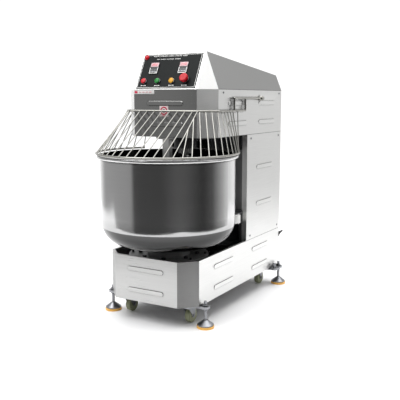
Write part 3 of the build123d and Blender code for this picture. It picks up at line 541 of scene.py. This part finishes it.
def cablePoints():
    points = list(cable["route"])
    centreX, centreY = cable["coilCentre"]
    radii, heights = cable["coilRadii"], cable["coilHeights"]
    steps = cable["pointsPerTurn"]
    total = steps * len(radii)
    for k in range(total + 1):
        turn = min(k // steps, len(radii) - 1)
        part = (k - turn * steps) / steps
        after = min(turn + 1, len(radii) - 1)
        shift = max(0.0, (part - 0.75) / 0.25)       # moves over to the next turn in the last quarter
        radius = radii[turn] + (radii[after] - radii[turn]) * shift
        height = heights[turn] + (heights[after] - heights[turn]) * shift
        angle = math.pi / 2 + 2 * math.pi * k / steps
        points.append((centreX + radius * math.cos(angle), centreY + radius * math.sin(angle), height))
    lineY, lineZ = cable["plugLine"]
    points += [(centreX - 0.045, lineY, 0.016), (centreX - 0.085, lineY, lineZ), (cable["plugRear"], lineY, lineZ)]
    return points


def makeCable():
    data = bpy.data.curves.new("supplyCable", "CURVE")
    data.dimensions = "3D"
    data.bevel_depth = cable["diameter"] / 2
    data.bevel_resolution = 6
    data.resolution_u = 8
    data.use_fill_caps = True
    spline = data.splines.new("NURBS")
    points = cablePoints()
    spline.points.add(len(points) - 1)
    for point, place in zip(spline.points, points):
        point.co = (*place, 1.0)
    spline.order_u = 3
    spline.use_endpoint_u = True
    cord = bpy.data.objects.new("supplyCable", data)
    bpy.context.scene.collection.objects.link(cord)
    data.materials.append(finishes["cableSheath"])
    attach(cord, "root")
    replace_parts(cord, "power_cord", "cord_coil")
    return cord


def makeGland():
    # tapered rubber boot with ribs, on a round collar against the rear cover
    low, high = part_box("cable_gland")
    length = high.y - low.y
    place = Matrix.Translation(((low.x + high.x) / 2, low.y, (low.z + high.z) / 2)) @ Matrix.Rotation(-math.pi / 2, 4, "X")
    reach = (high.x - low.x) / 2
    tip = cable["diameter"] / 2 + 0.0018
    profile = [(0, 0), (reach - 0.001, 0), (reach - 0.0002, 0.0012), (reach - 0.0004, 0.005), (reach - 0.0035, 0.0065)]
    ribs = 6
    for k in range(ribs):
        start = 0.008 + (length - 0.010) * k / ribs
        outer = (reach - 0.004) + (tip - reach + 0.004) * k / ribs
        profile += [(outer, start), (outer - 0.0004, start + 0.0028), (outer - 0.0022, start + 0.0034),
                    (outer - 0.0024, start + 0.0046)]
    profile += [(tip, length - 0.001), (tip - 0.001, length), (0, length)]
    gland = addPiece("cableBoot", joinedMesh("cableBoot", [turned(profile, place)]), "cableSheath", "root")
    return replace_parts(gland, "cable_gland")


def makePlug():
    lineY, lineZ = cable["plugLine"]
    low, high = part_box("plug")
    place = Matrix.Translation((high.x, lineY, lineZ)) @ Matrix.Rotation(-math.pi / 2, 4, "Y")
    reach = (high.z - low.z) / 2
    length = high.x - low.x
    profile = [(0, 0), (0.0095, 0), (0.0105, 0.002), (0.0125, 0.012), (0.015, 0.022), (reach - 0.003, 0.029)]
    for k in range(7):
        start = 0.031 + 0.006 * k
        profile += [(reach - 0.0025, start), (reach - 0.001, start + 0.0012), (reach - 0.001, start + 0.0036),
                    (reach - 0.0025, start + 0.0048)]
    profile += [(reach - 0.0008, 0.076), (reach, 0.078), (reach, length - 0.001), (reach - 0.001, length),
                (reach - 0.003, length), (reach - 0.003, length - 0.022), (0, length - 0.022)]
    body = turned(profile, place)
    plug = addPiece("cablePlug", joinedMesh("cablePlug", [body]), "blackPlastic", "root")
    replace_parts(plug, "plug")
    pins = []
    for k in range(4):
        angle = math.pi / 4 + k * math.pi / 2
        pin = [(0, 0), (0.0026, 0), (0.0026, 0.017), (0.0018, 0.019), (0, 0.0195)]
        pins.append(turned(pin, place @ Matrix.Translation((0.0115 * math.cos(angle), 0.0115 * math.sin(angle),
                                                            length - 0.022)), 20))
    contacts = addPiece("plugPins", joinedMesh("plugPins", pins), "brass", "root")
    return plug, contacts


def makeCoilTies():
    ties = []
    centreX, centreY = cable["coilCentre"]
    for angle in (math.radians(200), math.radians(330)):
        across = Matrix.Translation((centreX, centreY, 0.0)) @ Matrix.Rotation(angle, 4, "Z")
        loop = bmesh.new()
        corners = [(0.0440, 0.0004), (0.0660, 0.0004), (0.0664, 0.0030), (0.0664, 0.0180), (0.0650, 0.0206),
                   (0.0450, 0.0206), (0.0436, 0.0180), (0.0436, 0.0030)]
        rings = []
        for offset in (-0.0025, 0.0025):
            rings.append([loop.verts.new((x, offset, z)) for x, z in corners])
            rings.append([loop.verts.new((x + (0.0008 if x > 0.055 else -0.0008), offset,
                                          z + (0.0008 if z > 0.010 else -0.0003))) for x, z in corners])
        count = len(corners)
        for k in range(count):
            n = (k + 1) % count
            loop.faces.new((rings[0][k], rings[0][n], rings[2][n], rings[2][k]))
            loop.faces.new((rings[1][k], rings[3][k], rings[3][n], rings[1][n]))
            loop.faces.new((rings[0][k], rings[1][k], rings[1][n], rings[0][n]))
            loop.faces.new((rings[2][k], rings[2][n], rings[3][n], rings[3][k]))
        bmesh.ops.transform(loop, matrix=across, verts=loop.verts)
        ties.append(loop)
    return addPiece("coilTies", joinedMesh("coilTies", ties), "blackPlastic", "root", smooth=False)


supplyCable = makeCable()
boot = makeGland()
plugPiece, plugPins = makePlug()
ties = makeCoilTies()
print("supply cable laid")


# ---------------------------------------------------------------- control panel
panel = {"run": 0.0925, "rise": 0.183, "filmTop": 0.0020, "halfWidth": 0.172, "low": 0.005, "high": 0.196,
         "borderInset": 0.004, "borderWidth": 0.0022, "printHeight": 0.0004,
         "lamp": (-0.155, 0.179), "timers": (-0.0915, 0.079), "timerLow": 0.086, "timerHigh": 0.146,
         "timerWidth": 0.048, "timerProud": 0.0040, "buttons": (-0.133, -0.051, 0.032), "buttonLine": 0.043,
         "stop": (0.107, 0.052), "bezelTop": 0.0070}


def slopePlace(x, s, out=0.0):
    # matrix on the control slope: X across, Y up the slope, Z out of it
    low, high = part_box("hood")
    slope = math.atan2(panel["run"], panel["rise"])
    across = Vector((1, 0, 0))
    up = Vector((0, math.sin(slope), math.cos(slope)))
    outward = Vector((0, -math.cos(slope), math.sin(slope)))
    point = Vector((x, low.y, low.z)) + up * s + outward * out
    matrix = Matrix((across, up, outward)).transposed().to_4x4()
    matrix.translation = point
    return matrix


def printBlock(x, s, width, height, finishHeight=None):
    depth = finishHeight or panel["printHeight"]
    place = slopePlace(x, s, panel["filmTop"] + depth / 2)
    return softBlock((width, height, depth), depth * 0.3, place)


def makePanelPrint():
    middle = (panel["low"] + panel["high"]) / 2
    tall = panel["high"] - panel["low"] - 2 * panel["borderInset"]
    wide = 2 * (panel["halfWidth"] - panel["borderInset"])
    border = panel["borderWidth"]
    parts = [printBlock(0, middle + k * (tall - border) / 2, wide, border) for k in (-1, 1)]
    parts += [printBlock(k * (wide - border) / 2, middle, border, tall - 2 * border) for k in (-1, 1)]
    # plain bars where a maker would print captions
    for x in panel["buttons"] + (panel["stop"][0],):
        for k, length in ((-1, 0.009), (0, 0.006), (1, 0.010)):
            parts.append(printBlock(x + k * 0.0105, 0.0205, length, 0.0042))
    for s, start, words in ((0.184, -0.112, (6, 8, 6, 7, 5)), (0.167, -0.086, (3, 5, 8, 6))):
        x = start
        for marks in words:
            for k in range(marks):
                parts.append(printBlock(x, s, 0.0032, (0.0044, 0.0034, 0.0040)[k % 3]))
                x += 0.0056
            x += 0.0052
    addPiece("panelPrint", joinedMesh("panelPrint", parts), "whitePrint", "root", smooth=False)


segmentSets = {"8": "abcdefg", "0": "abcdef", "5": "acdfg", "3": "abcdg", "2": "abdeg"}


def digitParts(x, s, out, digit, width=0.0048, tall=0.0105, stroke=0.0011):
    shapes = {"a": (0, tall / 2, width, stroke), "d": (0, -tall / 2, width, stroke), "g": (0, 0, width, stroke),
              "b": (width / 2, tall / 4, stroke, tall / 2), "c": (width / 2, -tall / 4, stroke, tall / 2),
              "f": (-width / 2, tall / 4, stroke, tall / 2), "e": (-width / 2, -tall / 4, stroke, tall / 2)}
    parts = []
    for segment in segmentSets[digit]:
        dx, ds, w, h = shapes[segment]
        size = (max(w - 0.0004, stroke), max(h - 0.0004, stroke), 0.0004)
        parts.append(softBlock(size, 0.0001, slopePlace(x + dx, s + ds, out)))
    return parts


def makeTimerFaces():
    frames, windows, digits, keys = [], [], [], []
    top = panel["filmTop"] + panel["timerProud"]
    middle = (panel["timerLow"] + panel["timerHigh"]) / 2
    tall = panel["timerHigh"] - panel["timerLow"]
    half = panel["timerWidth"] / 2
    rim = 0.0035
    for x, reading in zip(panel["timers"], ("0800", "2530")):
        lowTall = tall * 0.55
        lowMiddle = panel["timerLow"] + lowTall / 2
        for k in (-1, 1):
            frames.append(softBlock((rim, lowTall, 0.0016), 0.0005, slopePlace(x + k * (half - rim / 2), lowMiddle, top)))
        frames.append(softBlock((2 * half, rim, 0.0016), 0.0005, slopePlace(x, panel["timerLow"] + rim / 2, top)))
        windowTall = tall * 0.38
        windowMiddle = panel["timerHigh"] - windowTall / 2
        windows.append(softBlock((2 * half - 0.002, windowTall, 0.0014), 0.0004, slopePlace(x, windowMiddle, top)))
        for k, digit in enumerate(reading):
            digits += digitParts(x + (k - 1.5) * 0.0082, windowMiddle, top + 0.0009, digit)
        for k in range(4):
            keys.append(softBlock((0.0064, 0.0052, 0.0012), 0.0004,
                                  slopePlace(x + (k - 1.5) * 0.0092, panel["timerLow"] + 0.011, top)))
            keys.append(softBlock((0.0050, 0.0016, 0.0008), 0.0002,
                                  slopePlace(x + (k - 1.5) * 0.0092, panel["timerLow"] + 0.021, top)))
    addPiece("timerFrames", joinedMesh("timerFrames", frames), "whitePrint", "root")
    addPiece("timerWindows", joinedMesh("timerWindows", windows), "displayGlass", "root")
    addPiece("timerDigits", joinedMesh("timerDigits", digits), "displayDigit", "root", smooth=False)
    addPiece("timerKeys", joinedMesh("timerKeys", keys), "zinc", "root")


def makeLamp():
    x, s = panel["lamp"]
    collar = washerRing(0.0105, 0.0128, 0.0034, slopePlace(x, s, panel["filmTop"]))
    addPiece("lampCollar", joinedMesh("lampCollar", [collar]), "redCap", "root")
    dome = [(0, 0.0010), (0.0104, 0.0014)]
    dome += [(0.0104 * math.cos(a * math.pi / 16), 0.0036 + 0.0052 * math.sin(a * math.pi / 16)) for a in range(8)]
    dome.append((0, 0.0088))
    lens = turned(dome, slopePlace(x, s, panel["filmTop"]))
    addPiece("lampLens", joinedMesh("lampLens", [lens]), "redCap", "root")


def makeBezelRings():
    # bright screwed rings in the mouths of the bezels, and the collar under the stop knob
    rings = [washerRing(0.0139, 0.0153, 0.0012, slopePlace(x, panel["buttonLine"], panel["bezelTop"]))
             for x in panel["buttons"]]
    x, s = panel["stop"]
    rings.append(washerRing(0.0150, 0.0185, 0.0022, slopePlace(x, s, panel["filmTop"])))
    addPiece("bezelRings", joinedMesh("bezelRings", rings), "zinc", "root")


buttonCaps = {"reach": 0.0136, "base": 0.01105, "crown": 0.0032, "edge": 0.0009,
              "finishes": {"stop_button": "redCap", "start_button": "greenCap", "inch_button": "yellowCap"},
              "slots": {"stop_button": "red_plastic", "start_button": "green_plastic",
                        "inch_button": "yellow_plastic"}}


def makeButtonCaps():
    # domed caps that overhang the mouths of the bezels and sit inside the bright rings when pressed
    for name, x in zip(buttonCaps["finishes"], panel["buttons"]):
        reach, edge = buttonCaps["reach"], buttonCaps["edge"]
        profile = [(0, 0), (reach - 0.0004, 0), (reach, 0.0004), (reach, edge)]
        profile += [(reach * math.cos(a * math.pi / 14), edge + buttonCaps["crown"] * math.sin(a * math.pi / 14))
                    for a in range(1, 7)]
        profile.append((0, edge + buttonCaps["crown"]))
        cap = turned(profile, slopePlace(x, panel["buttonLine"], buttonCaps["base"]), 40)
        addPiece(name + "_cap", joinedMesh(name + "Cap", [cap]), buttonCaps["finishes"][name], name)


makeButtonCaps()
makePanelPrint()
makeTimerFaces()
makeLamp()
makeBezelRings()
print("control panel dressed")


# ---------------------------------------------------------------- plates on the head
headPlates = {"stripX": (-0.184, -0.061), "stripZ": (1.126, 1.144), "squareX": (-0.030, 0.021),
              "squareZ": (1.015, 1.067), "thick": 0.0008}


def facePlate(x0, x1, z0, z1, lift=0.0):
    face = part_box("hood")[0].y
    thick = headPlates["thick"]
    place = Matrix.Translation(((x0 + x1) / 2, face - thick / 2 - lift, (z0 + z1) / 2))
    return softBlock((x1 - x0, thick, z1 - z0), thick * 0.3, place)


def makeHeadPlates():
    (x0, x1), (z0, z1) = headPlates["stripX"], headPlates["stripZ"]
    strip = [facePlate(x0, x1, z0, z1)]
    addPiece("noticeStrip", joinedMesh("noticeStrip", strip), "whitePrint", "root")
    lift = headPlates["thick"]
    marks = [facePlate(x0 + 0.003, x0 + 0.022, z0 + 0.003, z1 - 0.003, lift)]
    for k in range(4):
        start = x0 + 0.030 + 0.021 * k
        marks.append(facePlate(start, start + 0.015, (z0 + z1) / 2 - 0.0012, (z0 + z1) / 2 + 0.0012, lift))
    (x0, x1), (z0, z1) = headPlates["squareX"], headPlates["squareZ"]
    addPiece("noticeSquare", joinedMesh("noticeSquare", [facePlate(x0, x1, z0, z1)]), "pinkPrint", "root")
    centre = Matrix.Translation(((x0 + x1) / 2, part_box("hood")[0].y - lift, (z0 + z1) / 2 + 0.002))
    out = centre @ Matrix.Rotation(math.pi / 2, 4, "X")
    marks.append(washerRing(0.0145, 0.0205, 0.0008, out, round=0.0002))
    marks.append(facePlate(x0 + 0.012, x1 - 0.012, z0 + 0.0022, z0 + 0.0040, lift))
    addPiece("noticeMarks", joinedMesh("noticeMarks", marks), "redPrint", "root", smooth=False)
    hub = [(0, 0), (0.0085, 0), (0.0085, 0.0006), (0.0080, 0.0008), (0, 0.0008)]
    addPiece("noticeHub", joinedMesh("noticeHub", [turned(hub, out)]), "blackPlastic", "root")


makeHeadPlates()
print("head plates placed")


# ---------------------------------------------------------------- folded joints between the panels
seams = {"width": 0.0016, "proud": 0.0003, "rowsFrom": {"base": 0.335, "head": 0.913, "roof": 1.148}}


def makeSeams():
    low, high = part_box("column_side_panel_right")
    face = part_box("head_bottom_plate")[1].x + 0.002      # outer face of the side sheets
    parts = []
    for side in (-1, 1):
        for row, z in seams["rowsFrom"].items():
            front = low.y if row == "base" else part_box("head_side_panel_right")[0].y
            size = (seams["proud"] * 2, high.y - front - 0.004, seams["width"])
            place = Matrix.Translation((side * face, (front + high.y) / 2, z))
            parts.append(softBlock(size, 0.0001, place))
        corner = (side * face, low.y + 0.001, (seams["rowsFrom"]["base"] + seams["rowsFrom"]["head"]) / 2)
        tall = seams["rowsFrom"]["head"] - seams["rowsFrom"]["base"] - 0.01
        parts.append(softBlock((seams["proud"] * 2, 0.0010, tall), 0.0001, Matrix.Translation(corner)))
    addPiece("panelSeams", joinedMesh("panelSeams", parts), "blackSteel", "root", smooth=False)


makeSeams()
print("seams marked")


# ---------------------------------------------------------------- castors and feet
wheelDress = {"tread": 0.0035, "hubReach": 0.016}


def makeWheelDress(name):
    low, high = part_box(name)
    middle = (low + high) / 2
    reach = (high.z - low.z) / 2
    half = (high.x - low.x) / 2
    place = Matrix.Translation(middle) @ Matrix.Rotation(math.pi / 2, 4, "Y")
    rings = []
    for side in (-1, 1):
        face = place @ Matrix.Translation((0, 0, side * half - (0.0012 if side > 0 else 0.0)))
        rings.append(washerRing(reach * 0.60, reach * 0.80, 0.0012 - 0.0002, face, round=0.0003))
    body = name
    addPiece(name + "_discs", joinedMesh(name + "Discs", rings), "castorTread", body)


for wheelName in nodeFinish["castorOlive"]:
    makeWheelDress(wheelName)
print("castors dressed")
